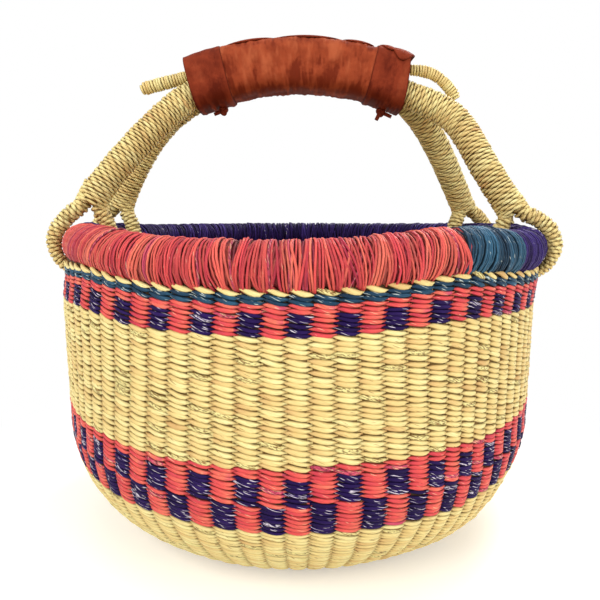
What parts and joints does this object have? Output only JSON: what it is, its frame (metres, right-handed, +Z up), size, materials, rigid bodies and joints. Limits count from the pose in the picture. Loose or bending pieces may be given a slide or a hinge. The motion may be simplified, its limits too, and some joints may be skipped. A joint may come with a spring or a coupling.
{
  "type": "bolga basket",
  "caption": "Round woven grass market basket with checked bands, a wrapped rim and a fixed double-arch handle bound in leather.",
  "frame": {"origin": "on the floor under the middle of the basket, at the bottom centre of its bounding box", "axes": "+Z up, front of the basket towards -Y, +X to the right as seen from the front, along the grip"},
  "size_m": [0.3789, 0.3666, 0.3694],
  "materials": {
    "natural_straw": "undyed grass straw, satin, twined",
    "bare_straw": "loose bundle of undyed grass straw",
    "red_straw": "coral red dyed grass straw, satin",
    "teal_straw": "teal dyed grass straw, satin",
    "purple_straw": "deep purple dyed grass straw, satin",
    "checked_straw": "coral red and purple dyed grass straw, woven in checks",
    "tan_leather": "goat leather, wet formed, wrinkled",
    "dark_leather": "goat leather, darker, wet formed"
  },
  "bodies": {
    "root": {"base_weave": "natural_straw", "lower_wall_weave": "natural_straw", "lower_check_band": "checked_straw", "middle_wall_weave": "natural_straw", "upper_check_band": "checked_straw", "teal_cord": "teal_straw", "natural_top_cord": "natural_straw", "rim_core_bundle": "bare_straw", "rim_wrap_red": "red_straw", "rim_wrap_teal": "teal_straw", "rim_wrap_purple": "purple_straw", "front_left_foot_loop": "natural_straw", "front_right_foot_loop": "natural_straw", "rear_left_foot_loop": "natural_straw", "rear_right_foot_loop": "natural_straw", "front_arch_core_bundle": "bare_straw", "front_arch_twined_wrap": "natural_straw", "rear_arch_core_bundle": "bare_straw", "rear_arch_twined_wrap": "natural_straw", "grip_rod": "natural_straw", "grip_sleeve": "tan_leather", "grip_band_left": "dark_leather", "grip_band_right": "dark_leather", "grip_seam_fold_1": "dark_leather", "grip_seam_fold_2": "dark_leather", "grip_seam_fold_3": "dark_leather", "right_band_fold": "dark_leather", "lace_knot_left": "dark_leather", "lace_knot_right": "dark_leather"}
  },
  "joints": []
}
